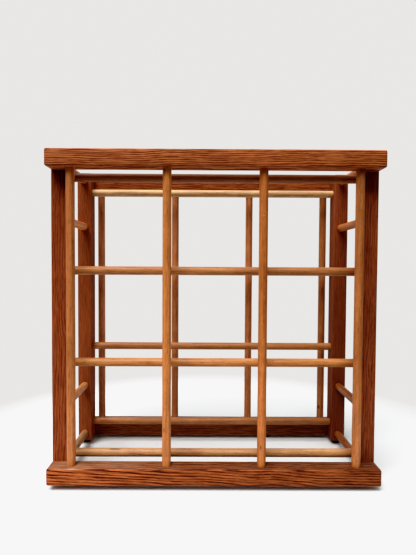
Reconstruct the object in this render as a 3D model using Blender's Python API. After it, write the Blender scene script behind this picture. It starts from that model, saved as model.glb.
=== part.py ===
"""Wine rack for nine bottles: two wooden frames tied together with round dowels.

Metres, +Z up. The origin is on the table under the middle of the rack, and the front
faces -Y. Each frame has two posts and two rails, and the rails cross outside the posts,
flush with their ends. Upright dowels run from rail to rail, row dowels from post to post
carry the bottles, and side dowels run from the front frame to the back frame. The longest
side dowels pass through the posts and pin the rails. A small foot sits under each post.
"""
import bmesh
import bpy
from math import pi
from mathutils import Matrix, Vector

# Overall size; the frames start where the feet end.
WIDTH = 0.382
DEPTH = 0.1715
HEIGHT = 0.3865
FOOT_HEIGHT = 0.0060

# Stock.
POST_WIDTH = 0.019
POST_DEPTH = 0.023
RAIL_HEIGHT = 0.0195
RAIL_THICKNESS = 0.022
BACK_RAIL_DROP = 0.002  # the back bottom rail is this much taller, and reaches lower
DOWEL_RADIUS = 0.0051
DOWEL_SIDES = 24
FOOT_TOP_RADIUS = 0.0065
FOOT_BOTTOM_RADIUS = 0.0055
FOOT_SIDES = 32

# Places of the dowels.
CELL_PITCH = 0.110
DOWELS_PER_FRAME = 4
ROW_MIDDLE_HEIGHT = 0.1955
SIDE_DOWEL_HEIGHTS = (0.0162, 0.0852, 0.3112, 0.3762)
PINNING_SIDE_DOWELS = (0, DOWELS_PER_FRAME - 1)

# How far the dowels reach into the wood.
UPRIGHT_INSERT = 0.011
ROW_INSERT = 0.011
SIDE_INSERT = 0.012
PIN_INSERT = 0.011

# Eased edges, and the glue line left between two pieces that touch.
EASED_EDGE = 0.0010
DOWEL_CHAMFER = 0.0006
GLUE_GAP = 0.0003
HOLE_OVERSHOOT = 0.002

# Planes that several pieces share.
RAIL_Y = DEPTH / 2 - RAIL_THICKNESS / 2
RAIL_INNER_Y = DEPTH / 2 - RAIL_THICKNESS
POST_INNER_Y = RAIL_INNER_Y - POST_DEPTH
POST_Y = RAIL_INNER_Y - POST_DEPTH / 2
POST_X = WIDTH / 2 - POST_WIDTH / 2
POST_INNER_X = WIDTH / 2 - POST_WIDTH
RAIL_HEIGHTS = {
    "bottom": FOOT_HEIGHT + RAIL_HEIGHT / 2,
    "top": HEIGHT - RAIL_HEIGHT / 2,
}
FRAME_HEIGHT = HEIGHT - FOOT_HEIGHT
FRAME_MIDDLE_HEIGHT = FOOT_HEIGHT + FRAME_HEIGHT / 2
RAIL_SPAN = FRAME_HEIGHT - 2 * RAIL_HEIGHT

SIDES = {"left": -1, "right": 1}
FACES = {"front": -1, "back": 1}

POST_COLOUR = (0.150, 0.037, 0.011)
RAIL_COLOUR = (0.235, 0.062, 0.018)
DOWEL_COLOUR = (0.400, 0.145, 0.045)
POST_ROUGHNESS = 0.42
RAIL_ROUGHNESS = 0.42
DOWEL_ROUGHNESS = 0.38
FOOT_COLOUR = (0.022, 0.018, 0.015)
FOOT_ROUGHNESS = 0.80


def remove_everything():
    for old in list(bpy.data.objects):
        bpy.data.objects.remove(old, do_unlink=True)


def wood(name, colour, roughness):
    material = bpy.data.materials.new(name)
    material.use_nodes = True
    shader = material.node_tree.nodes["Principled BSDF"]
    shader.inputs["Base Color"].default_value = (*colour, 1.0)
    shader.inputs["Roughness"].default_value = roughness
    shader.inputs["Metallic"].default_value = 0.0
    return material


def mesh_from(bm, name):
    mesh = bpy.data.meshes.new(name)
    bm.normal_update()
    bm.to_mesh(mesh)
    bm.free()
    return mesh


def place(name, mesh, location, rack, axis="Z"):
    """Make one piece from a mesh, with the mesh's Z along the given axis."""
    piece = bpy.data.objects.new(name, mesh)
    piece.location = location
    if axis == "X":
        piece.rotation_euler = (0, pi / 2, 0)
    if axis == "Y":
        piece.rotation_euler = (pi / 2, 0, 0)
    piece.parent = rack
    bpy.context.scene.collection.objects.link(piece)
    return piece


def finish(piece, colour, roughness):
    """Give a piece its own material, on the object, so that pieces can share a mesh."""
    if not piece.data.materials:
        piece.data.materials.append(None)
    piece.material_slots[0].link = "OBJECT"
    piece.material_slots[0].material = wood(piece.name + "_wood", colour, roughness)


def bar_mesh(name, size):
    """A square-cut bar with eased edges."""
    bm = bmesh.new()
    bmesh.ops.create_cube(bm, size=1.0)
    bmesh.ops.scale(bm, vec=size, verts=bm.verts)
    bmesh.ops.bevel(
        bm, geom=bm.edges[:], offset=EASED_EDGE, segments=2, profile=0.5, affect="EDGES",
    )
    return mesh_from(bm, name)


def dowel_mesh(name, length):
    """A round rod along Z with chamfered ends."""
    bm = bmesh.new()
    bmesh.ops.create_cone(
        bm, cap_ends=True, segments=DOWEL_SIDES,
        radius1=DOWEL_RADIUS, radius2=DOWEL_RADIUS, depth=length,
    )
    end_edges = [edge for edge in bm.edges if edge.verts[0].co.z == edge.verts[1].co.z]
    bmesh.ops.bevel(bm, geom=end_edges, offset=DOWEL_CHAMFER, segments=1, affect="EDGES")
    mesh = mesh_from(bm, name)
    mesh.shade_smooth()
    mesh.set_sharp_from_angle(angle=pi / 6)
    return mesh


def add_hole(bm, mouth, direction, depth):
    """Add a drill's shape, from just outside the mouth to the hole's bottom."""
    direction = Vector(direction)
    length = depth + HOLE_OVERSHOOT
    middle = Vector(mouth) + direction * (depth - HOLE_OVERSHOOT) / 2
    turn = Vector((0, 0, 1)).rotation_difference(direction).to_matrix().to_4x4()
    bmesh.ops.create_cone(
        bm, cap_ends=True, segments=DOWEL_SIDES,
        radius1=DOWEL_RADIUS + GLUE_GAP, radius2=DOWEL_RADIUS + GLUE_GAP,
        depth=length, matrix=Matrix.Translation(middle) @ turn,
    )


def drill(piece, holes):
    """Cut a piece's dowel holes; each hole is a mouth, a direction and a depth."""
    bm = bmesh.new()
    for mouth, direction, depth in holes:
        add_hole(bm, mouth, direction, depth)
    cutter = bpy.data.objects.new(piece.name + "_drill", mesh_from(bm, piece.name + "_drill"))
    cutter.hide_render = True
    cutter.display_type = "WIRE"
    bpy.context.scene.collection.objects.link(cutter)
    cut = piece.modifiers.new("dowel_holes", "BOOLEAN")
    cut.operation = "DIFFERENCE"
    cut.solver = "EXACT"
    cut.object = cutter


def dowel_steps():
    """Places of a frame's four dowels, counted from the middle."""
    first = -(DOWELS_PER_FRAME - 1) / 2
    return [(first + step) * CELL_PITCH for step in range(DOWELS_PER_FRAME)]


def row_heights():
    return [ROW_MIDDLE_HEIGHT + step for step in dowel_steps()]


def make_post(face, side, rack):
    toward_back = FACES[face]
    toward_right = SIDES[side]
    depth = POST_DEPTH - GLUE_GAP
    size = (POST_WIDTH, depth, FRAME_HEIGHT)
    y = toward_back * (POST_INNER_Y + depth / 2)
    x = toward_right * POST_X
    name = f"post_{face}_{side}"
    post = place(name, bar_mesh(name, size), (x, y, FRAME_MIDDLE_HEIGHT), rack)
    holes = []
    for z in row_heights():
        mouth = (toward_right * POST_INNER_X, toward_back * POST_Y, z)
        holes.append((mouth, (toward_right, 0, 0), ROW_INSERT + GLUE_GAP))
    for number, z in enumerate(SIDE_DOWEL_HEIGHTS):
        mouth = (x, toward_back * POST_INNER_Y, z)
        blind = SIDE_INSERT + GLUE_GAP
        through = POST_DEPTH + HOLE_OVERSHOOT
        reach = through if number in PINNING_SIDE_DOWELS else blind
        holes.append((mouth, (0, toward_back, 0), reach))
    drill(post, holes)
    finish(post, POST_COLOUR, POST_ROUGHNESS)


def make_rail(face, level, rack):
    toward_back = FACES[face]
    z = RAIL_HEIGHTS[level]
    inward = 1 if level == "bottom" else -1
    drop = BACK_RAIL_DROP if (face, level) == ("back", "bottom") else 0.0
    size = (WIDTH, RAIL_THICKNESS, RAIL_HEIGHT + drop)
    name = f"rail_{face}_{level}"
    rail = place(name, bar_mesh(name, size), (0, toward_back * RAIL_Y, z - drop / 2), rack)
    holes = []
    for x in dowel_steps():
        mouth = (x, toward_back * RAIL_Y, z + inward * RAIL_HEIGHT / 2)
        holes.append((mouth, (0, 0, -inward), UPRIGHT_INSERT + GLUE_GAP))
    pin_height = SIDE_DOWEL_HEIGHTS[0] if level == "bottom" else SIDE_DOWEL_HEIGHTS[-1]
    for toward_right in SIDES.values():
        mouth = (toward_right * POST_X, toward_back * RAIL_INNER_Y, pin_height)
        holes.append((mouth, (0, toward_back, 0), PIN_INSERT + GLUE_GAP))
    drill(rail, holes)
    finish(rail, RAIL_COLOUR, RAIL_ROUGHNESS)


def make_feet(rack):
    """A low tapered disc under the middle of each post, wider where it meets the wood."""
    thickness = FOOT_HEIGHT - GLUE_GAP
    bm = bmesh.new()
    bmesh.ops.create_cone(
        bm, cap_ends=True, segments=FOOT_SIDES,
        radius1=FOOT_BOTTOM_RADIUS, radius2=FOOT_TOP_RADIUS, depth=thickness,
    )
    disc = mesh_from(bm, "foot")
    disc.shade_smooth()
    disc.set_sharp_from_angle(angle=pi / 6)
    for face, toward_back in FACES.items():
        for side, toward_right in SIDES.items():
            location = (toward_right * POST_X, toward_back * POST_Y, thickness / 2)
            foot = place(f"foot_{face}_{side}", disc, location, rack)
            finish(foot, FOOT_COLOUR, FOOT_ROUGHNESS)


def make_dowels(rack):
    upright = dowel_mesh("upright_dowel", RAIL_SPAN + 2 * UPRIGHT_INSERT)
    row = dowel_mesh("row_dowel", 2 * (POST_INNER_X + ROW_INSERT))
    side_tie = dowel_mesh("side_dowel", 2 * (POST_INNER_Y + SIDE_INSERT))
    side_pin = dowel_mesh("side_pin", 2 * (RAIL_INNER_Y + PIN_INSERT))
    made = []
    for face, toward_back in FACES.items():
        for number, x in enumerate(dowel_steps(), start=1):
            location = (x, toward_back * RAIL_Y, FRAME_MIDDLE_HEIGHT)
            made.append(place(f"upright_dowel_{face}_{number}", upright, location, rack))
        for number, z in enumerate(row_heights(), start=1):
            location = (0, toward_back * POST_Y, z)
            made.append(place(f"row_dowel_{face}_{number}", row, location, rack, axis="X"))
    for side, toward_right in SIDES.items():
        for index, z in enumerate(SIDE_DOWEL_HEIGHTS):
            mesh = side_pin if index in PINNING_SIDE_DOWELS else side_tie
            location = (toward_right * POST_X, 0, z)
            name = f"side_dowel_{side}_{index + 1}"
            made.append(place(name, mesh, location, rack, axis="Y"))
    for piece in made:
        finish(piece, DOWEL_COLOUR, DOWEL_ROUGHNESS)


def main():
    remove_everything()
    rack = bpy.data.objects.new("wine_rack", None)
    bpy.context.scene.collection.objects.link(rack)
    for face in FACES:
        for side in SIDES:
            make_post(face, side, rack)
        for level in RAIL_HEIGHTS:
            make_rail(face, level, rack)
    make_dowels(rack)
    make_feet(rack)


main()
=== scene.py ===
"""Looks for the nine-bottle wine rack: stained oak bars, round dowels and a pale studio."""
from math import cos, pi, radians, sin

import bmesh
import bpy
from mathutils import Matrix, Vector, noise


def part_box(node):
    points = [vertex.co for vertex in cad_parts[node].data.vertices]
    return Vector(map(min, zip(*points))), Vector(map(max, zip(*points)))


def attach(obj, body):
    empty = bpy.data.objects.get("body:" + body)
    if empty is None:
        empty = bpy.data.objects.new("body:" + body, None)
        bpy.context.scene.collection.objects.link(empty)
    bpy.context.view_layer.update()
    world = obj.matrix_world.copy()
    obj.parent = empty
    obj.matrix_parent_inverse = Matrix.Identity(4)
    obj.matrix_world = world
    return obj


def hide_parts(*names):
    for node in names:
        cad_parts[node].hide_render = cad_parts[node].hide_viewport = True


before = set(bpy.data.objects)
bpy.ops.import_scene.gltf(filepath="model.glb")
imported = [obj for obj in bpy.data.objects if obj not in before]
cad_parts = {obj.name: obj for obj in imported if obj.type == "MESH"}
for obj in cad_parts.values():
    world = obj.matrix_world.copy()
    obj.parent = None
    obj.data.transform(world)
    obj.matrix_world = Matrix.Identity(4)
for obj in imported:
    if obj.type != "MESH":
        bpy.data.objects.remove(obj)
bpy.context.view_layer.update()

BODY = "root"

# Lengths are in metres. WAVES are how many bends there are in a metre along a piece, and
# SEED_STEPS are how far apart two pieces' bends are taken from the noise.
SEED_STEPS = (7.31, 1.7)

# Bars: rounded long edges, slightly uneven, and softly broken ends. Where an end narrows, the
# long edges' radius shrinks by END_EASE times as much.
EDGE_RADII = {"post": 0.0009, "rail": 0.0015}
END_RADII = {"post": 0.0009, "rail": 0.0022}
SMALLEST_EDGE_RADIUS = 0.0002
EDGE_UNEVENNESS = 0.25
EDGE_WAVES = 34
END_EASE = 0.5
BAR_WANDER = 0.00010
BAR_WANDER_SEEDS = (3, 5)
BAR_WAVES = 9
BAR_STATIONS = 44
CORNER_STEPS = 5
END_STEPS = 4

# Dowels: drawn a little thinner than their holes, with faint unevenness from sanding.
DOWEL_SIDES = 40
DOWEL_STATIONS = 56
DOWEL_WANDER = 0.00005
DOWEL_WAVES = 26
DOWEL_CHAMFER = 0.1
HOLE_CLEARANCE = 0.00012

# Feet: the taper and the rim are shares of the top's radius, the dish of the nail's.
FOOT_TAPER = 0.85
FOOT_RIM = 0.12
FOOT_RIM_STEPS = 4
FOOT_TOP_EASE = 0.0002
FOOT_NAIL_RADIUS = 0.0016
FOOT_DISH = 1.6
FOOT_NAIL_DEPTH = 0.0008

SHARP_ANGLE = radians(40)


# ---------------------------------------------------------------- small helpers

def wander(seed, z, waves, amount):
    """A smooth value between -amount and amount that changes along a piece."""
    return amount * noise.noise(Vector((seed * SEED_STEPS[0], z * waves, seed * SEED_STEPS[1])))


def local_frame(name):
    """A node's centre, its half sizes in its own axes, and the turn from those to the world.

    Its own Z runs along its longest side, and its own X and Y are the next two world axes in turn.
    """
    low, high = (Vector(corner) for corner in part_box(name))
    size = high - low
    longest = max(range(3), key=lambda axis: size[axis])
    columns = [Vector((0, 0, 0)) for _ in range(3)]
    for local, world in enumerate(((longest + 1) % 3, (longest + 2) % 3, longest)):
        columns[local][world] = 1.0
    turn = Matrix(columns).transposed()
    half = turn.transposed() @ (size / 2)
    return (low + high) / 2, Vector(abs(v) for v in half), turn


def place(name, bm, centre, turn):
    """Turn a local mesh into an object at its place in the frame."""
    mesh = bpy.data.meshes.new(name)
    bm.normal_update()
    bm.to_mesh(mesh)
    bm.free()
    piece = bpy.data.objects.new(name, mesh)
    piece.matrix_world = Matrix.Translation(centre) @ turn.to_4x4()
    bpy.context.scene.collection.objects.link(piece)
    return piece


def skin(rings):
    """Join a list of equal rings of points into one closed surface."""
    bm = bmesh.new()
    loops = [[bm.verts.new(point) for point in ring] for ring in rings]
    count = len(loops[0])
    for lower, upper in zip(loops, loops[1:]):
        for i in range(count):
            j = (i + 1) % count
            bm.faces.new((lower[i], lower[j], upper[j], upper[i]))
    bm.faces.new(reversed(loops[0]))
    bm.faces.new(loops[-1])
    return bm


def stations(half, count):
    """Evenly spaced heights from -half to half."""
    return [-half + 2 * half * step / (count - 1) for step in range(count)]


def circle(radius, z):
    """A ring of points, anticlockwise seen from +Z."""
    angles = [2 * pi * step / DOWEL_SIDES for step in range(DOWEL_SIDES)]
    return [Vector((radius * cos(angle), radius * sin(angle), z)) for angle in angles]


# ---------------------------------------------------------------- bars

def rounded_rectangle(half_x, half_y, radius, z, shift):
    """A ring of points with rounded corners, anticlockwise seen from +Z."""
    points = []
    for quarter, (sx, sy) in enumerate(((1, 1), (-1, 1), (-1, -1), (1, -1))):
        for step in range(CORNER_STEPS + 1):
            angle = (quarter + step / CORNER_STEPS) * pi / 2
            x = sx * (half_x - radius) + radius * cos(angle) + shift[0]
            y = sy * (half_y - radius) + radius * sin(angle) + shift[1]
            points.append(Vector((x, y, z)))
    return points


def bar(name, seed):
    """A post or rail with eased, slightly worn edges."""
    centre, half, turn = local_frame(name)
    kind = name.split("_")[0]
    edge_radius = EDGE_RADII[kind]
    end_radius = END_RADII[kind]
    inner = half.z - end_radius
    angles = [step / END_STEPS * pi / 2 for step in range(END_STEPS)]
    end = [(end_radius * cos(angle), end_radius * (1 - sin(angle))) for angle in angles]
    profile = [(-inner - past, inset) for past, inset in end]
    profile += [(z, 0.0) for z in stations(inner, BAR_STATIONS)]
    profile += [(inner + past, inset) for past, inset in reversed(end)]
    rings = []
    for z, inset in profile:
        uneven = wander(seed, z, EDGE_WAVES, edge_radius * EDGE_UNEVENNESS)
        radius = max(edge_radius + uneven - inset * END_EASE, SMALLEST_EDGE_RADIUS)
        shift = [wander(seed + step, z, BAR_WAVES, BAR_WANDER) for step in BAR_WANDER_SEEDS]
        trim = BAR_WANDER + inset
        rings.append(rounded_rectangle(half.x - trim, half.y - trim, radius, z, shift))
    return place(name + "_finished", skin(rings), centre, turn)


def cut_holes(piece, name, dowels):
    """Drill the bar wherever a dowel's box meets its own."""
    low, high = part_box(name)
    cutters = bmesh.new()
    for dowel_name in dowels:
        dowel_low, dowel_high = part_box(dowel_name)
        if any(dowel_high[k] < low[k] or dowel_low[k] > high[k] for k in range(3)):
            continue
        centre, half, turn = local_frame(dowel_name)
        bmesh.ops.create_cone(
            cutters, cap_ends=True, segments=DOWEL_SIDES,
            radius1=half.x + HOLE_CLEARANCE, radius2=half.x + HOLE_CLEARANCE,
            depth=2 * (half.z + HOLE_CLEARANCE),
            matrix=Matrix.Translation(centre) @ turn.to_4x4(),
        )
    cutter = place(name + "_drill", cutters, Vector((0, 0, 0)), Matrix.Identity(3))
    cut = piece.modifiers.new("holes", "BOOLEAN")
    cut.operation = "DIFFERENCE"
    cut.solver = "EXACT"
    cut.object = cutter
    bpy.context.view_layer.update()
    graph = bpy.context.evaluated_depsgraph_get()
    drilled = bpy.data.meshes.new_from_object(piece.evaluated_get(graph))
    piece.modifiers.remove(cut)
    piece.data = drilled
    bpy.data.objects.remove(cutter, do_unlink=True)


# ---------------------------------------------------------------- dowels and feet

def dowel(name, seed):
    """A round rod, not quite true, with softened ends."""
    centre, half, turn = local_frame(name)
    radius = half.x - DOWEL_WANDER
    chamfer = radius * DOWEL_CHAMFER
    profile = [(-half.z, chamfer), (-half.z + chamfer, 0.0)]
    profile += [(z, 0.0) for z in stations(half.z - 2 * chamfer, DOWEL_STATIONS)]
    profile += [(half.z - chamfer, 0.0), (half.z, chamfer)]
    rings = [
        circle(radius - inset + wander(seed, z, DOWEL_WAVES, DOWEL_WANDER), z)
        for z, inset in profile
    ]
    return place(name + "_finished", skin(rings), centre, turn)


def foot(name):
    """A low rubber disc: flat under, slightly dished round a nail, with a soft rim."""
    low, high = (Vector(corner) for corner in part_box(name))
    centre = (low + high) / 2
    top_radius = (high.x - low.x) / 2
    bottom_radius = top_radius * FOOT_TAPER
    rim = top_radius * FOOT_RIM
    outline = [(FOOT_NAIL_RADIUS, low.z + FOOT_NAIL_DEPTH), (FOOT_NAIL_RADIUS * FOOT_DISH, low.z)]
    for step in reversed(range(FOOT_RIM_STEPS + 1)):
        angle = step / FOOT_RIM_STEPS * pi / 2
        outline.append((bottom_radius - rim + rim * cos(angle), low.z + rim - rim * sin(angle)))
    outline.append((top_radius - FOOT_TOP_EASE, high.z))
    rings = [circle(radius, z - centre.z) for radius, z in outline]
    return place(name + "_finished", skin(rings), centre, Matrix.Identity(3))


# ---------------------------------------------------------------- node graphs

class Graph:
    """Short calls for building a node tree; most give back the new node's output."""

    def __init__(self, tree):
        self.tree = tree

    def put(self, value, socket):
        """Link a socket, or set its constant directly."""
        if isinstance(value, bpy.types.NodeSocket):
            self.tree.links.new(value, socket)
        else:
            socket.default_value = value

    def add(self, kind, inputs=None, **settings):
        """A new node with its settings, and with values or links for its inputs."""
        made = self.tree.nodes.new("ShaderNode" + kind)
        for key, value in settings.items():
            setattr(made, key, value)
        for key, value in (inputs or {}).items():
            self.put(value, made.inputs[key])
        return made

    def math(self, operation, first, second=0.0):
        return self.add("Math", {0: first, 1: second}, operation=operation).outputs[0]

    def times(self, first, second):
        return self.math("MULTIPLY", first, second)

    def plus(self, first, second):
        return self.math("ADD", first, second)

    def minus(self, first, second):
        return self.math("SUBTRACT", first, second)

    def vector(self, operation, first, second=(0, 0, 0)):
        made = self.add("VectorMath", {0: first, 1: second}, operation=operation)
        return made.outputs["Value" if operation == "LENGTH" else "Vector"]

    def part(self, vector, axis):
        return self.add("SeparateXYZ", {0: vector}).outputs[axis]

    def noise(self, place, scale, detail=2.0, rough=0.5, output="Fac"):
        """Noise with its own stretch: scale is features per metre along each axis."""
        stretched = self.vector("MULTIPLY", place, scale)
        settings = {"Vector": stretched, "Scale": 1.0, "Detail": detail, "Roughness": rough}
        return self.add("TexNoise", settings).outputs[output]

    def ramp(self, value, stops):
        """A smooth grey ramp: stops are (position, value) pairs."""
        made = self.add("ValToRGB", {"Fac": value})
        made.color_ramp.interpolation = "EASE"
        elements = made.color_ramp.elements
        while len(elements) < len(stops):
            elements.new(0.5)
        for element, (position, level) in zip(elements, stops):
            element.position = position
            element.color = (level, level, level, 1.0)
        return made.outputs["Color"]

    def mix(self, amount, first, second, blend="MIX"):
        made = self.add("Mix", data_type="RGBA", blend_type=blend)
        colour_inputs = [socket for socket in made.inputs if socket.type == "RGBA"]
        self.put(amount, made.inputs["Factor"])
        self.put(first, colour_inputs[0])
        self.put(second, colour_inputs[1])
        return next(socket for socket in made.outputs if socket.type == "RGBA")

    def remap(self, value, span, to=(0.0, 1.0)):
        """Turn values across one span into values across another, and stop at its ends."""
        made = self.add("MapRange", {
            "Value": value, "From Min": span[0], "From Max": span[1],
            "To Min": to[0], "To Max": to[1],
        })
        return made.outputs["Result"]


class MaterialGraph(Graph):
    """A new material's node tree, with the places in it that patterns start from."""

    def __init__(self, name, shift=(0.0, 0.0, 0.0), seed=0):
        self.material = bpy.data.materials.new(name)
        self.material.use_nodes = True
        super().__init__(self.material.node_tree)
        self.shader = self.tree.nodes["Principled BSDF"]
        self.here = self.add("TexCoord").outputs["Object"]
        self.offset = tuple(step * seed for step in shift)
        self.seeded = self.vector("ADD", self.here, self.offset)

    def finish(self, paint, roughness, height, bump, gloss):
        """Join colour, roughness and relief to the shader."""
        self.put(paint, self.shader.inputs["Base Color"])
        self.put(roughness, self.shader.inputs["Roughness"])
        relief = self.add("Bump", {"Height": height, **bump})
        self.put(relief.outputs["Normal"], self.shader.inputs["Normal"])
        self.put(gloss, self.shader.inputs["Specular IOR Level"])
        return self.material


def colour(red, green, blue):
    """A colour given as the usual 0 to 255 screen values, in Blender's linear values."""
    def linear(level):
        level /= 255
        return level / 12.92 if level <= 0.04045 else ((level + 0.055) / 1.055) ** 2.4
    return (linear(red), linear(green), linear(blue), 1.0)


# ---------------------------------------------------------------- material settings

# A pattern's scale is features per metre along a piece's own X, Y and Z; the grain runs along Z.
# SPANS are the noise values that a pattern runs between, and RANGES are what those become.
NOISE_SPAN = (0.3, 0.7)
NOISE_MIDDLE = (0.5, 0.5, 0.5)
WHITE = (1.0, 1.0, 1.0, 1.0)

# Oak.
OAK_SHIFT = (0.37, 0.61, 0.23)
SWAY = {"scale": (13, 13, 13), "detail": 1.0, "output": "Color"}
RIPPLE = {"scale": (90, 90, 55), "detail": 1.5, "output": "Color"}
RING_DRIFT = {"scale": (75, 75, 4)}
RING_DRIFT_REACH = 1.8
RING_PROFILE = ((0.0, 0.55), (0.12, 1.0), (0.34, 0.80), (0.52, 0.08), (0.90, 0.0), (1.0, 0.55))
DASH_SPAN = (0.42, 0.57)
GAP_SPAN = (0.36, 0.56)
PORES = {"scale": (2600, 2600, 160), "detail": 1.0}
PORE_SPAN = (0.55, 0.66)
OAK_FIBRES = {"scale": (1500, 1500, 26)}
OAK_FIBRE_RANGE = (0.86, 1.14)
OAK_BROAD = {"scale": (16, 16, 9)}
OAK_BROAD_RANGE = (0.84, 1.16)
OAK_GRAIN_ROUGHNESS = 0.18
OAK_GRAIN_RELIEF = -0.75
OAK_FIBRE_RELIEF = 0.30
OAK_BUMP = {"Strength": 0.45, "Distance": 0.00035}

WEAR = {"scale": (160, 160, 60), "detail": 3.0, "rough": 0.6}
WEAR_SPAN = (0.35, 0.65)
WEAR_WIDTH = 0.0016
WEAR_GAIN = 0.45

# Painted shade darkens the faces whose upward part is in the SLOPES. Over it lies a pale film,
# partly dust and partly painted sheen, which thins along the rail.
PAINTED_TOP_SHADE = (0.60, 0.58, 0.54, 1.0)
DUST_AND_SHEEN = colour(196, 160, 132)
TOP_FACE_SLOPES = (0.75, 0.98)
DUST_AND_SHEEN_PATCHES = {"scale": (70, 70, 45), "detail": 3.0, "rough": 0.6}
DUST_AND_SHEEN_SPAN = (0.35, 0.70)
DUST_AND_SHEEN_RANGE = (0.25, 1.0)
DUST_AND_SHEEN_PLACES = (-0.19, -0.03)
DUST_AND_SHEEN_AMOUNTS = (0.44, 0.07)

# What differs between the bars; pith is where the rings' centre is, in the bar's own X and Y.
SOFT_RAIL = {
    "light": colour(190, 112, 68), "dark": colour(104, 42, 24),
    "pith": (0.02, -0.11), "ring_width": 0.0024,
    "sway": 0.008, "ripple": 0.0010, "lean": -0.01,
    "dashes": {"scale": (820, 820, 42), "rough": 0.55},
    "gaps": {"scale": (330, 330, 34), "detail": 1.5}, "unbroken": 0.35,
    "line_depth": 0.78, "dash_depth": 0.46, "pore_depth": 0.22,
    "rough": 0.50, "gloss": 0.10,
}
BOLD_RAIL = {
    "light": colour(198, 108, 60), "dark": colour(84, 30, 15),
    "pith": (0.08, -0.10), "ring_width": 0.0025,
    "sway": 0.007, "ripple": 0.0012, "lean": 0.05,
    "dashes": {"scale": (820, 820, 36), "rough": 0.55},
    "gaps": {"scale": (300, 300, 26), "detail": 1.5}, "unbroken": 0.60,
    "line_depth": 0.80, "dash_depth": 0.46, "pore_depth": 0.26,
    "rough": 0.50, "gloss": 0.10,
}
FRONT_POST = {
    "light": colour(148, 78, 46), "dark": colour(90, 40, 24),
    "pith": (-0.06, 0.03), "ring_width": 0.0025,
    "sway": 0.010, "ripple": 0.0016, "lean": 0.02,
    "dashes": {"scale": (760, 760, 44), "rough": 0.55},
    "gaps": {"scale": (340, 340, 34), "detail": 1.5}, "unbroken": 0.30,
    "line_depth": 0.50, "dash_depth": 0.40, "pore_depth": 0.26,
    "rough": 0.50, "gloss": 0.10,
}
BACK_POST = dict(
    FRONT_POST, light=colour(138, 71, 41),
    line_depth=0.28, dash_depth=0.26, pore_depth=0.16,
)
LOOKS = {
    "rail_front_bottom": BOLD_RAIL,
    "rail_front_top": SOFT_RAIL,
    "rail_back_bottom": SOFT_RAIL,
    "rail_back_top": SOFT_RAIL,
    "post_front_left": FRONT_POST,
    "post_front_right": FRONT_POST,
    "post_back_left": BACK_POST,
    "post_back_right": BACK_POST,
}
# The rail that gets painted shade on its top faces and the film of dust and painted sheen.
TOP_SHADED_AND_DUSTY = "rail_front_bottom"

# Dowel wood.
DOWEL_LIGHT = colour(206, 129, 76)
DOWEL_DARK = colour(138, 73, 38)
DOWEL_SHIFT = (0.53, 0.29, 0.41)
STREAKS = {"scale": (430, 430, 22), "detail": 3.0, "rough": 0.6}
STREAK_SPAN = (0.34, 0.68)
STREAK_DEPTH = 0.60
DOWEL_FIBRES = {"scale": (1800, 1800, 60)}
DOWEL_FIBRE_DEPTH = 0.30
FLECKS = {"scale": (1300, 1300, 210), "detail": 0.5}
FLECK_SPAN = (0.63, 0.71)
FLECK_DEPTH = 0.42
DOWEL_DEPTH_SPAN = (0.1, 1.2)
MOTTLE = {"scale": (120, 120, 75), "detail": 2.5}
MOTTLE_RANGE = (0.89, 1.11)
DOWEL_BROAD = {"scale": (25, 25, 11), "detail": 1.5}
DOWEL_BROAD_RANGE = (0.92, 1.08)
DOWEL_ROUGHNESS = (0.36, 0.48)
DOWEL_FIBRE_RELIEF = 0.5
DOWEL_GRAIN_RELIEF = 0.4
DOWEL_BUMP = {"Strength": 0.30, "Distance": 0.00020}
DOWEL_GLOSS = 0.28

# Foot rubber; it has rubbed grey below the first of the two heights, measured from its middle.
RUBBER_DARK = colour(34, 29, 26)
RUBBER_LIGHT = colour(52, 45, 40)
RUBBER_RUBBED = colour(104, 98, 92)
RUBBER_SHIFT = (0.31, 0.17, 0.11)
CLOUD = {"scale": (500, 500, 500), "detail": 3.0}
GRIT = {"scale": (4000, 4000, 4000), "detail": 1.0}
RUBBED_HEIGHTS = (-0.0012, -0.0021)
RUBBED_AMOUNT = 0.35
RUBBER_ROUGHNESS = (0.72, 0.86)
RUBBER_BUMP = {"Strength": 0.3, "Distance": 0.00010}
RUBBER_GLOSS = 0.3
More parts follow.
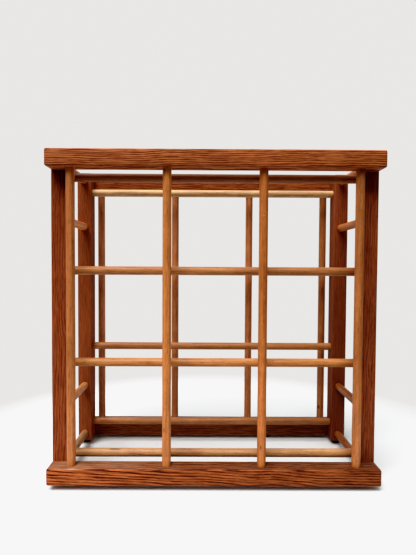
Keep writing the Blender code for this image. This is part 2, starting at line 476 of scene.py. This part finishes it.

# Each piece's tone: how light it is, how that changes from its left, front or lower end
# to the other, and its tint. Besides the wood's own tone, these hold painted light and shade:
# pieces and ends made darker where shade falls on them, and paler tints for painted sheen.
PLAIN = (1.0, 1.0, 1.0)
USUAL_TONE = (1.0, (1.0, 1.0), PLAIN)
TONES_WITH_PAINTED_LIGHT = {
    "rail_front_top": (1.05, (1.0, 1.0), (1.0, 1.06, 1.09)),
    # Darker towards the right end: painted light falloff.
    "rail_front_bottom": (0.71, (1.30, 0.69), (1.0, 1.10, 1.27)),
    "rail_back_top": (0.78, (1.0, 1.0), PLAIN),
    # Painted shade: this rail is made much darker where it lies in shade.
    "rail_back_bottom": (0.52, (1.10, 0.75), (1.0, 1.15, 1.3)),
    "post_front_left": (1.03, (1.02, 1.02), (1.0, 1.06, 1.15)),
    "post_front_right": (0.96, (0.80, 1.18), (1.0, 1.10, 1.3)),
    "post_back_left": (1.13, (0.92, 1.16), (1.0, 1.18, 1.32)),
    "post_back_right": (0.87, (0.74, 1.20), (1.0, 1.16, 1.4)),
    "upright_dowel_front_1": (0.99, (0.90, 1.07), (1.0, 1.05, 1.14)),
    "upright_dowel_front_2": (1.02, (0.93, 1.20), (1.0, 1.08, 1.05)),
    "upright_dowel_front_3": (0.89, (0.94, 1.04), (1.0, 0.97, 0.88)),
    # Painted shade: made darker towards the right of the rack.
    "upright_dowel_front_4": (0.76, (1.02, 1.0), (1.0, 1.03, 1.09)),
    "upright_dowel_back_1": (0.96, (0.94, 1.08), (1.0, 1.24, 1.9)),
    "upright_dowel_back_2": (0.80, (0.9, 1.10), (1.0, 1.10, 1.35)),
    "upright_dowel_back_3": (0.83, (0.96, 1.04), (1.0, 1.08, 1.30)),
    "upright_dowel_back_4": (0.62, (0.94, 1.0), (1.0, 1.08, 1.3)),
    # The paler, yellower tint is a painted sheen.
    "row_dowel_front_1": (0.83, (1.0, 0.97), (0.98, 1.42, 1.84)),
    "row_dowel_front_2": (0.92, (1.06, 0.96), (1.0, 1.16, 1.11)),
    "row_dowel_front_3": (0.87, (1.06, 0.92), (1.0, 1.19, 1.28)),
    # Painted shade: this dowel lies in the shadow of the front top rail.
    "row_dowel_front_4": (0.61, (1.03, 0.98), (1.0, 1.04, 1.15)),
    "row_dowel_back_1": (0.76, (1.02, 0.60), (1.0, 1.12, 1.25)),
    "row_dowel_back_2": (0.77, (1.0, 0.96), (1.0, 1.14, 1.2)),
    # Painted highlight: much paler and yellower where light falls on it from above.
    "row_dowel_back_4": (1.14, (1.0, 0.97), (1.0, 1.70, 2.5)),
    "side_dowel_left_1": (0.62, (1.0, 0.95), (1.0, 1.45, 2.1)),
    "side_dowel_left_2": (0.92, (1.0, 1.0), (1.0, 1.22, 1.33)),
    "side_dowel_left_3": (1.30, (1.0, 1.0), (1.0, 1.05, 1.0)),
    # Painted shade: the right side dowels are made much darker.
    "side_dowel_right_1": (0.48, (1.0, 0.9), (1.0, 0.92, 1.0)),
    "side_dowel_right_2": (0.46, (1.0, 0.9), (1.0, 0.90, 0.75)),
    "side_dowel_right_3": (0.83, (1.0, 1.0), (1.0, 0.96, 0.78)),
}

# Drying cracks, knots, stains, specks and patches of painted shade: centre and half size in the
# piece's own axes, colour and strength. A rail's or row dowel's own axes are the world's Y, Z and
# X, and an upright dowel's are X, Y and Z. A spot is full within the second share of its half size.
SPOT_EDGE = (1.0, 0.35)
CRACK = colour(40, 14, 8)
# Dark brown for patches of painted shade on the row dowels, partly also stain pooled at their
# right-hand joints.
SHADE_AND_STAIN = colour(112, 58, 28)
PALE = colour(214, 186, 160)
MARKS = {
    "rail_front_bottom": (
        ((-0.0110, 0.0028, -0.1826), (0.0020, 0.0012, 0.0110), CRACK, 1.0),
        ((-0.0110, 0.0084, -0.0650), (0.0024, 0.0013, 0.0100), CRACK, 0.9),
        ((-0.0098, 0.0097, -0.1615), (0.0022, 0.0012, 0.0080), PALE, 0.32),
    ),
    "rail_front_top": (
        ((-0.0106, -0.0094, -0.1276), (0.0018, 0.0011, 0.0015), CRACK, 0.85),
    ),
    "row_dowel_front_1": (
        ((-0.0020, 0.0046, -0.1190), (0.0030, 0.0012, 0.0100), CRACK, 0.55),
        # Painted shade patch.
        ((-0.0050, 0.0, -0.0300), (0.0120, 0.0120, 0.0240), SHADE_AND_STAIN, 0.42),
        # Darker at the right-hand joint: painted shade, partly stain.
        ((-0.0050, 0.0, 0.1720), (0.0120, 0.0120, 0.0320), SHADE_AND_STAIN, 0.55),
    ),
    "row_dowel_front_2": (
        # Darker at the right-hand joint: painted shade, partly stain.
        ((-0.0050, 0.0, 0.1740), (0.0120, 0.0120, 0.0360), SHADE_AND_STAIN, 0.50),
    ),
    "row_dowel_front_3": (
        # Darker at the right-hand joint: painted shade, partly stain.
        ((-0.0050, 0.0, 0.1740), (0.0120, 0.0120, 0.0400), SHADE_AND_STAIN, 0.60),
    ),
    "upright_dowel_front_2": (
        ((-0.0025, -0.0046, -0.1280), (0.0010, 0.0014, 0.0030), CRACK, 0.80),
    ),
    "upright_dowel_front_3": (
        ((-0.0015, -0.0050, -0.1477), (0.0010, 0.0014, 0.0034), CRACK, 0.75),
        ((-0.0003, -0.0052, 0.1177), (0.0007, 0.0010, 0.0009), PALE, 0.90),
    ),
    "upright_dowel_back_4": (
        ((-0.0034, -0.0036, -0.1509), (0.0022, 0.0022, 0.0040), CRACK, 0.80),
    ),
}


# ---------------------------------------------------------------- paint shared by the woods

def add_marks(g, paint, name):
    """Paint the piece's cracks, knots, stains, specks and patches of painted shade, each a soft
    ellipsoid.
    """
    for centre, size, tint, strength in MARKS.get(name, ()):
        away = g.vector("DIVIDE", g.vector("SUBTRACT", g.here, centre), size)
        spot = g.remap(g.vector("LENGTH", away), SPOT_EDGE)
        paint = g.mix(g.times(spot, strength), paint, tint)
    return paint


def shade(g, paint, level, name, half_length):
    """Scale a paint by a grey level and by the piece's tone, which holds painted light and shade as
    well as the wood's own tone.
    """
    overall, ends, tint = TONES_WITH_PAINTED_LIGHT.get(name, USUAL_TONE)
    along = g.remap(g.part(g.here, "Z"), (-half_length, half_length), ends)
    level = g.times(level, g.times(along, overall))
    scaled = {key: g.times(level, share) for key, share in zip(("Red", "Green", "Blue"), tint)}
    return g.mix(1.0, paint, g.add("CombineColor", scaled).outputs[0], blend="MULTIPLY")


# ---------------------------------------------------------------- oak

def oak(name, seed, half):
    """Ring-porous oak under a red-brown stain."""
    g = MaterialGraph(name + "_oak", OAK_SHIFT, seed)
    look = LOOKS[name]
    grain, grain_seeded = grain_place(g, look)
    fibres = g.noise(grain_seeded, **OAK_FIBRES)
    depth = grain_depth(g, look, grain, grain_seeded)

    paint = g.mix(depth, look["light"], look["dark"])
    broad = g.remap(g.noise(g.seeded, **OAK_BROAD), NOISE_SPAN, OAK_BROAD_RANGE)
    fine = g.remap(fibres, NOISE_SPAN, OAK_FIBRE_RANGE)
    level = g.times(g.times(broad, fine), edge_wear(g, half))
    paint = shade(g, paint, level, name, half.z)
    # Painted shade on the top faces, then a film of dust and painted sheen.
    if name == TOP_SHADED_AND_DUSTY:
        paint = add_top_shade_dust_and_sheen(g, paint)
    paint = add_marks(g, paint, name)

    roughness = g.plus(g.times(depth, OAK_GRAIN_ROUGHNESS), look["rough"])
    height = g.plus(g.times(depth, OAK_GRAIN_RELIEF), g.times(fibres, OAK_FIBRE_RELIEF))
    return g.finish(paint, roughness, height, OAK_BUMP, look["gloss"])


def grain_place(g, look):
    """Where each point lies in the grain, which sways, ripples and may lean.

    The second place is the same one, moved to the piece's own part of the noise.
    """
    place = g.here
    for pattern, reach in ((SWAY, look["sway"]), (RIPPLE, look["ripple"])):
        bend = g.vector("SUBTRACT", g.noise(g.seeded, **pattern), NOISE_MIDDLE)
        place = g.vector("ADD", place, g.vector("MULTIPLY", bend, (reach, reach, 0.0)))
    lean = g.times(g.part(g.here, "Z"), look["lean"])
    place = g.vector("ADD", place, g.add("CombineXYZ", {"Y": lean}).outputs[0])
    return place, g.vector("ADD", place, g.offset)


def grain_depth(g, look, grain, grain_seeded):
    """How dark the grain is: growth rings, broken up, with dashes and pores between them."""
    across = g.vector("SUBTRACT", grain, (*look["pith"], 0.0))
    across = g.vector("MULTIPLY", across, (1.0, 1.0, 0.0))
    count = g.math("DIVIDE", g.vector("LENGTH", across), look["ring_width"])
    count = g.plus(count, g.times(g.noise(g.seeded, **RING_DRIFT), RING_DRIFT_REACH))
    rings = g.ramp(g.math("FRACT", count), RING_PROFILE)

    dashes = g.remap(g.noise(grain_seeded, **look["dashes"]), DASH_SPAN)
    gaps = g.remap(g.noise(grain_seeded, **look["gaps"]), GAP_SPAN)
    pores = g.remap(g.noise(grain_seeded, **PORES), PORE_SPAN)
    broken = g.plus(g.times(gaps, 1 - look["unbroken"]), look["unbroken"])
    depth = g.times(g.times(rings, broken), look["line_depth"])
    depth = g.plus(depth, g.times(dashes, look["dash_depth"]))
    depth = g.plus(depth, g.times(pores, look["pore_depth"]))
    return g.math("MINIMUM", depth, 1.0)


def edge_wear(g, half):
    """How much lighter the stain is where handling has rubbed the long edges and the ends."""
    inward = [
        g.minus(reach, g.math("ABSOLUTE", g.part(g.here, axis)))
        for axis, reach in zip("XYZ", half)
    ]
    from_edge = g.math("MAXIMUM", inward[0], inward[1])
    from_end = g.math("MAXIMUM", inward[2], g.math("MINIMUM", inward[0], inward[1]))
    worn_to = g.remap(g.noise(g.seeded, **WEAR), WEAR_SPAN, (0.0, WEAR_WIDTH))
    inside = g.minus(worn_to, g.math("MINIMUM", from_edge, from_end))
    amount = g.math("MINIMUM", g.math("MAXIMUM", g.math("DIVIDE", inside, WEAR_WIDTH), 0.0), 1.0)
    return g.plus(g.times(amount, WEAR_GAIN), 1.0)


def add_top_shade_dust_and_sheen(g, paint):
    """Painted shade on the faces that look up, and over it a thin pale film, partly dust and partly
    painted sheen, thicker to the left.
    """
    upward = g.part(g.add("NewGeometry").outputs["Normal"], "Z")
    facing_up = g.remap(upward, TOP_FACE_SLOPES)
    # Painted shade: the faces that look up are darkened.
    paint = g.mix(1.0, paint, g.mix(facing_up, WHITE, PAINTED_TOP_SHADE), blend="MULTIPLY")
    patches = g.remap(g.noise(g.seeded, **DUST_AND_SHEEN_PATCHES), DUST_AND_SHEEN_SPAN, DUST_AND_SHEEN_RANGE)
    amount = g.times(patches, g.remap(g.part(g.here, "Z"), DUST_AND_SHEEN_PLACES, DUST_AND_SHEEN_AMOUNTS))
    # The pale film, partly dust and partly painted sheen.
    return g.mix(g.times(amount, facing_up), paint, DUST_AND_SHEEN)


# ---------------------------------------------------------------- dowel wood and rubber

def dowel_wood(name, seed, half):
    """Close-grained hardwood with fine flecks, lightly stained and finished."""
    g = MaterialGraph(name + "_wood", DOWEL_SHIFT, seed)
    streaks = g.remap(g.noise(g.seeded, **STREAKS), STREAK_SPAN)
    fibres = g.noise(g.seeded, **DOWEL_FIBRES)
    flecks = g.remap(g.noise(g.seeded, **FLECKS), FLECK_SPAN)

    depth = g.times(streaks, STREAK_DEPTH)
    depth = g.plus(depth, g.times(g.remap(fibres, NOISE_SPAN), DOWEL_FIBRE_DEPTH))
    depth = g.plus(depth, g.times(flecks, FLECK_DEPTH))
    paint = g.mix(g.remap(depth, DOWEL_DEPTH_SPAN), DOWEL_LIGHT, DOWEL_DARK)
    mottle = g.remap(g.noise(g.seeded, **MOTTLE), NOISE_SPAN, MOTTLE_RANGE)
    broad = g.remap(g.noise(g.seeded, **DOWEL_BROAD), NOISE_SPAN, DOWEL_BROAD_RANGE)
    level = g.times(mottle, broad)
    paint = add_marks(g, shade(g, paint, level, name, half.z), name)

    roughness = g.remap(fibres, NOISE_SPAN, DOWEL_ROUGHNESS)
    height = g.minus(g.times(fibres, DOWEL_FIBRE_RELIEF), g.times(depth, DOWEL_GRAIN_RELIEF))
    return g.finish(paint, roughness, height, DOWEL_BUMP, DOWEL_GLOSS)


def rubber(name, seed):
    """Matt, slightly mottled rubber, greyer where it has rubbed on the table."""
    g = MaterialGraph(name + "_rubber", RUBBER_SHIFT, seed)
    cloud = g.noise(g.seeded, **CLOUD)
    grit = g.noise(g.seeded, **GRIT)
    rubbed = g.times(g.remap(g.part(g.here, "Z"), RUBBED_HEIGHTS), RUBBED_AMOUNT)
    paint = g.mix(g.remap(cloud, NOISE_SPAN), RUBBER_DARK, RUBBER_LIGHT)
    paint = g.mix(rubbed, paint, RUBBER_RUBBED)
    roughness = g.remap(cloud, NOISE_SPAN, RUBBER_ROUGHNESS)
    return g.finish(paint, roughness, grit, RUBBER_BUMP, RUBBER_GLOSS)


# ---------------------------------------------------------------- the rack

def build_rack():
    """Make every piece with its material, in place of its CAD node."""
    names = sorted(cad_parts)
    dowels = [name for name in names if "dowel" in name]
    for seed, name in enumerate(names, start=1):
        if name.startswith("foot"):
            piece = foot(name)
            material = rubber(name, seed)
        elif name in dowels:
            piece = dowel(name, seed)
            material = dowel_wood(name, seed, local_frame(name)[1])
        else:
            piece = bar(name, seed)
            cut_holes(piece, name, dowels)
            material = oak(name, seed, local_frame(name)[1])
        piece.data.materials.clear()
        piece.data.materials.append(material)
        piece.data.shade_smooth()
        piece.data.set_sharp_from_angle(angle=SHARP_ANGLE)
        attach(piece, BODY)
        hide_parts(name)


# ---------------------------------------------------------------- studio

# The camera's turns are in radians, its sensor and focal length in millimetres.
CAMERA_PLACE = Vector((-0.0147, -0.5549, 0.2560))
CAMERA_YAW = -0.0044
CAMERA_PITCH = -0.0313
CAMERA_ROLL = 0.0052
CAMERA_SHIFT = (0.0073, 0.0038)
CAMERA_RANGE = (0.01, 50)
SENSOR = 36.0
FOCAL_LENGTH = 27.24324

FLOOR_RADIUS = 0.44
FLOOR_FADE_START = 0.34
FLOOR_SIDES = 128
FLOOR_PAINT = (0.72, 0.74, 0.74, 1.0)
FLOOR_ROUGHNESS = 0.7
FLOOR_GLOSS = 0.15

# The surroundings depend on a direction's X, Y and Z: -1 is left, front or down, 1 the other way.
BACKGROUND = (0.775, 0.765, 0.745, 1.0)
DIM_ROOM = (0.06, 0.06, 0.06, 1.0)
BRIGHT_WALL = (0.75, 0.74, 0.72, 1.0)
ROOM_TO_WALL = (-0.25, 0.55)
CEILING_LEFT = (0.70, 0.70, 0.70, 1.0)
CEILING_RIGHT = (0.45, 0.45, 0.45, 1.0)
LEFT_TO_RIGHT = (-0.8, 0.8)
WALL_TO_CEILING = (0.30, 0.60)

# The lamp's spread is how much sky it covers; its azimuth is 0 in front, negative to the left.
KEY_STRENGTH = 4.25
KEY_SPREAD = radians(40)
KEY_AZIMUTH = radians(-30)
KEY_ELEVATION = radians(61)

# How scene light turns into picture light: (in, out) pairs on linear values.
TONE_CURVE = (
    (0.0, 0.0), (0.02, 0.004), (0.05, 0.027), (0.10, 0.078),
    (0.20, 0.185), (0.45, 0.460), (0.75, 0.79), (1.0, 0.93),
)
COMBINED_CURVE = 3


def make_camera():
    """A nearly level view of the front, from a little above the middle."""
    data = bpy.data.cameras.new("camera")
    data.sensor_width = SENSOR
    data.lens = FOCAL_LENGTH
    data.shift_x, data.shift_y = CAMERA_SHIFT
    data.clip_start, data.clip_end = CAMERA_RANGE
    camera = bpy.data.objects.new("camera", data)
    turn = (
        Matrix.Rotation(CAMERA_YAW, 4, "Z")
        @ Matrix.Rotation(pi / 2 + CAMERA_PITCH, 4, "X")
        @ Matrix.Rotation(CAMERA_ROLL, 4, "Z")
    )
    camera.matrix_world = Matrix.Translation(CAMERA_PLACE) @ turn
    bpy.context.scene.collection.objects.link(camera)
    bpy.context.scene.camera = camera


def make_floor():
    """A pale round floor that fades into the background, so no horizon shows."""
    bm = bmesh.new()
    bmesh.ops.create_circle(bm, cap_ends=True, segments=FLOOR_SIDES, radius=FLOOR_RADIUS)
    floor = place("floor", bm, Vector((0, 0, 0)), Matrix.Identity(3))
    g = MaterialGraph("floor_paint")
    g.put(FLOOR_PAINT, g.shader.inputs["Base Color"])
    g.put(FLOOR_ROUGHNESS, g.shader.inputs["Roughness"])
    g.put(FLOOR_GLOSS, g.shader.inputs["Specular IOR Level"])
    gone = g.remap(g.vector("LENGTH", g.here), (FLOOR_FADE_START, FLOOR_RADIUS))
    clear = g.add("BsdfTransparent")
    fade = g.add("MixShader", {0: gone, 1: g.shader.outputs[0], 2: clear.outputs[0]})
    g.put(fade.outputs[0], g.tree.nodes["Material Output"].inputs["Surface"])
    floor.data.materials.append(g.material)


def make_lamp():
    """One broad, soft lamp, high in front and to the left."""
    data = bpy.data.lights.new("key", "SUN")
    data.energy = KEY_STRENGTH
    data.angle = KEY_SPREAD
    lamp = bpy.data.objects.new("key", data)
    toward = Vector((
        sin(KEY_AZIMUTH) * cos(KEY_ELEVATION),
        -cos(KEY_AZIMUTH) * cos(KEY_ELEVATION),
        sin(KEY_ELEVATION),
    ))
    lamp.rotation_mode = "QUATERNION"
    lamp.rotation_quaternion = toward.to_track_quat("Z", "Y")
    bpy.context.scene.collection.objects.link(lamp)


def make_surroundings():
    """A bright wall behind, a dim room in front, a pale ceiling, and a plain background."""
    world = bpy.data.worlds.new("studio")
    bpy.context.scene.world = world
    world.use_nodes = True
    g = Graph(world.node_tree)
    direction = g.add("TexCoord").outputs["Generated"]
    room = g.mix(g.remap(g.part(direction, "Y"), ROOM_TO_WALL), DIM_ROOM, BRIGHT_WALL)
    ceiling = g.mix(g.remap(g.part(direction, "X"), LEFT_TO_RIGHT), CEILING_LEFT, CEILING_RIGHT)
    room = g.mix(g.remap(g.part(direction, "Z"), WALL_TO_CEILING), room, ceiling)
    seen = g.add("LightPath").outputs["Is Camera Ray"]
    g.put(g.mix(seen, room, BACKGROUND), g.tree.nodes["Background"].inputs["Color"])


def set_tone_curve():
    """Show the light with deep shadows and soft whites."""
    view = bpy.context.scene.view_settings
    view.view_transform = "Standard"
    view.use_curve_mapping = True
    view.curve_mapping.extend = "HORIZONTAL"
    points = view.curve_mapping.curves[COMBINED_CURVE].points
    points[0].location = TONE_CURVE[0]
    points[-1].location = TONE_CURVE[-1]
    for place_on_curve in TONE_CURVE[1:-1]:
        points.new(*place_on_curve)
    view.curve_mapping.update()


build_rack()
make_camera()
make_floor()
make_surroundings()
make_lamp()
set_tone_curve()
